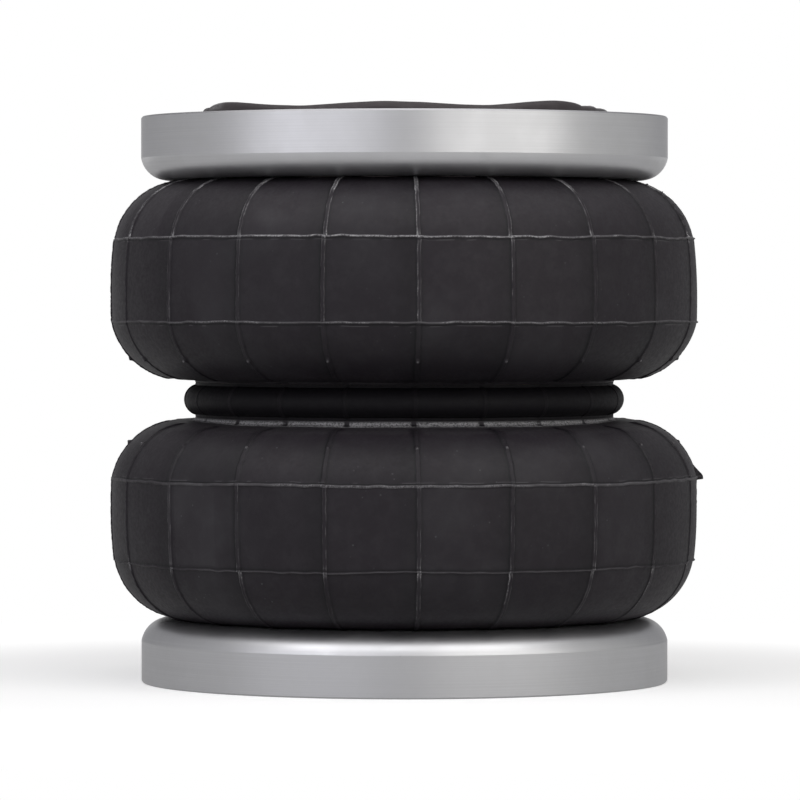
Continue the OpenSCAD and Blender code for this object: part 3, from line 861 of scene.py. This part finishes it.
def dress_cad_nodes():
    """Gives the CAD nodes that still show their procedural materials."""
    for name, thing in frame["nodes"].items():
        look = next((CAD_LOOKS[key] for key in CAD_LOOKS if name.endswith(key)), None)
        if look and not thing.hide_render:
            for slot in thing.material_slots:
                slot.material = MATERIALS[look]


def make_bellows():
    """Both convolutions: each layer's wall and throat."""
    for number, side in enumerate(("lower", "upper")):
        for layer in LAYERS:
            for part in ("wall", "throat"):
                wall(side, layer, part, 11 + 1000 * number)


def softbox(name, azimuth, elevation, distance, size, radiance, colour):
    """A flat lamp that looks at the middle of the spring. Azimuth 0 is the front."""
    lamp = bpy.data.lights.new(name, "AREA")
    lamp.shape = "RECTANGLE"
    lamp.size, lamp.size_y = size
    lamp.energy = radiance * math.pi * size[0] * size[1]
    lamp.color = colour
    a, e = math.radians(azimuth), math.radians(elevation)
    away = Vector((math.sin(a) * math.cos(e), -math.cos(a) * math.cos(e), math.sin(e)))
    thing = bpy.data.objects.new(name, lamp)
    thing.location = Vector((0, 0, WAIST_Z)) + away * distance
    thing.rotation_mode = "QUATERNION"
    thing.rotation_quaternion = away.to_track_quat("Z", "Y")
    bpy.context.scene.collection.objects.link(thing)


def rays_that_see_white(tree):
    """1 for camera, glossy and transmission rays, and 0 for the rest."""
    path = node(tree, "ShaderNodeLightPath")
    seen = times(tree, path.outputs["Is Camera Ray"], path.outputs["Is Glossy Ray"], "ADD")
    return path, times(tree, seen, path.outputs["Is Transmission Ray"], "ADD")


def make_world():
    """White for the camera. Reflections see white behind the spring, and a grey room, paler at
    its sides, elsewhere."""
    world = bpy.data.worlds.new("studio")
    bpy.context.scene.world = world
    world.use_nodes = True
    tree = world.node_tree
    background = tree.nodes["Background"]
    away = node(tree, "ShaderNodeTexCoord").outputs["Generated"]
    behind = node(tree, "ShaderNodeVectorMath", {0: away, 1: (0, 1, 0)}, operation="DOT_PRODUCT")
    white = between(tree, behind.outputs["Value"], BACKDROP_EDGE, 1.0)
    across = node(tree, "ShaderNodeVectorMath", {0: away, 1: (1, 0, 0)}, operation="DOT_PRODUCT")
    across = across.outputs["Value"]
    room = mixed(tree, between(tree, across, ROOM_SIDE, 1.0), (*ROOM, 1), (*ROOM_RIGHT, 1))
    room = mixed(tree, between(tree, across, -ROOM_SIDE, -1.0), room, (*ROOM_LEFT, 1))
    reflected = mixed(tree, white, room, (1, 1, 1, 1))
    path, seen = rays_that_see_white(tree)
    shown = mixed(tree, path.outputs["Is Camera Ray"], reflected, (1, 1, 1, 1))
    colour = mixed(tree, seen, (*AMBIENT, 1), shown)
    tree.links.new(colour, background.inputs["Color"])
    background.inputs["Strength"].default_value = 1


def make_floor():
    """A pale floor that keeps the shadow near the spring and turns plain white further out."""
    count = 96
    points = [(0, 0, 0)] + [
        (r * math.sin(TURN * i / count), r * math.cos(TURN * i / count), 0)
        for r in FLOOR_RADII for i in range(count)
    ]
    faces = [(0, 1 + (i + 1) % count, 1 + i) for i in range(count)]
    for ring in range(len(FLOOR_RADII) - 1):
        a, b = 1 + ring * count, 1 + (ring + 1) * count
        faces += [(a + i, a + (i + 1) % count, b + (i + 1) % count, b + i) for i in range(count)]
    mesh = bpy.data.meshes.new("floor")
    mesh.from_pydata(points, [], faces)
    floor = bpy.data.objects.new("floor", mesh)
    bpy.context.scene.collection.objects.link(floor)
    floor.location.z = -FLOOR_GAP
    material, tree, shader = new_material("pale_floor")
    at = node(tree, "ShaderNodeTexCoord").outputs["Object"]
    radius = node(tree, "ShaderNodeVectorMath", {0: at}, operation="LENGTH").outputs["Value"]
    path, seen = rays_that_see_white(tree)
    shown = path.outputs["Is Camera Ray"]
    start = between(tree, shown, 0.0, 1.0, REFLECTED_FLOOR[0], FLOOR[0])
    end = between(tree, shown, 0.0, 1.0, REFLECTED_FLOOR[1], FLOOR[1])
    far = between(tree, radius, start, end)
    near_glow = between(tree, shown, 0.0, 1.0, REFLECTED_GLOW, FLOOR_GLOW)
    glow = times(tree, seen, between(tree, far, 0.0, 1.0, near_glow, 1.0))
    shader.inputs["Roughness"].default_value = 0.9
    shader.inputs["Specular IOR Level"].default_value = 0.0
    pale = mixed(tree, shown, (*FLOOR_BOUNCE, 1), (*FLOOR_PALE, 1))
    colour = mixed(tree, times(tree, far, seen), pale, (0, 0, 0, 1))
    tree.links.new(colour, shader.inputs["Base Color"])
    shader.inputs["Emission Color"].default_value = (1, 1, 1, 1)
    tree.links.new(glow, shader.inputs["Emission Strength"])
    mesh.materials.append(material)


def make_camera():
    """The photograph's view: far away, a little over the waist and tipped down by a degree."""
    data = bpy.data.cameras.new("camera")
    data.sensor_width = 36
    data.lens = CAMERA_LENS
    data.clip_end = 100
    camera = bpy.data.objects.new("camera", data)
    camera.location = CAMERA_AT
    camera.rotation_euler = (math.radians(90 - CAMERA_TIP), 0, 0)
    bpy.context.scene.collection.objects.link(camera)
    bpy.context.scene.camera = camera


# The photograph's camera: its place, how many degrees it tips down, and its lens in mm
CAMERA_AT = (-1.7 * MM, -2.13, 0.146)
CAMERA_TIP = 1.052
CAMERA_LENS = 252

# The world: where its white backdrop and its paler sides start, as cosines of the angle from
# the middle of each, and its colours in reflections and as light
BACKDROP_EDGE = 0.94
ROOM_SIDE = 0.6
ROOM = (0.33, 0.33, 0.34)
ROOM_RIGHT = (0.54, 0.54, 0.53)
ROOM_LEFT = (0.44, 0.44, 0.45)
AMBIENT = (0.2, 0.2, 0.205)

# The floor: its mesh, the radii between which it turns white for the camera and in reflections,
# how much it glows near the spring in each, and its colours for the camera and as a bounce
FLOOR_RADII = (0.1, 0.2, 0.4, 0.8, 1.6, 6.0)
FLOOR_GAP = 0.02 * MM
FLOOR = (0.1, 0.42)
REFLECTED_FLOOR = (0.5, 3.5)
FLOOR_GLOW = 0.3
REFLECTED_GLOW = 0.25
FLOOR_PALE = (0.8, 0.8, 0.8)
FLOOR_BOUNCE = (0.32, 0.32, 0.32)

# Lamps: azimuth and elevation in degrees, distance, size, radiance and colour
SOFTBOXES = {
    "left_softbox": (-40, 12, 0.9, (0.94, 0.34), 1.04, (0.935, 0.935, 1)),
    "right_softbox": (40, 12, 0.9, (0.94, 0.34), 1.3, (1, 0.985, 0.94)),
    "left_top_softbox": (-31, 42, 2.0, (1.7, 0.8), 1.6, (0.98, 0.98, 1)),
    "right_top_softbox": (31, 42, 2.0, (1.7, 0.8), 1.6, (1, 0.99, 0.97)),
    "overhead_softbox": (0, 80, 1.5, (3.4, 2), 1.2, (1, 0.99, 0.99)),
}

make_camera()
make_bellows()
girdle_rubber()
upper_bead()
dress_cad_nodes()
make_world()
make_floor()
for name, settings in SOFTBOXES.items():
    softbox(name, *settings)

bpy.context.scene.view_settings.view_transform = "Standard"
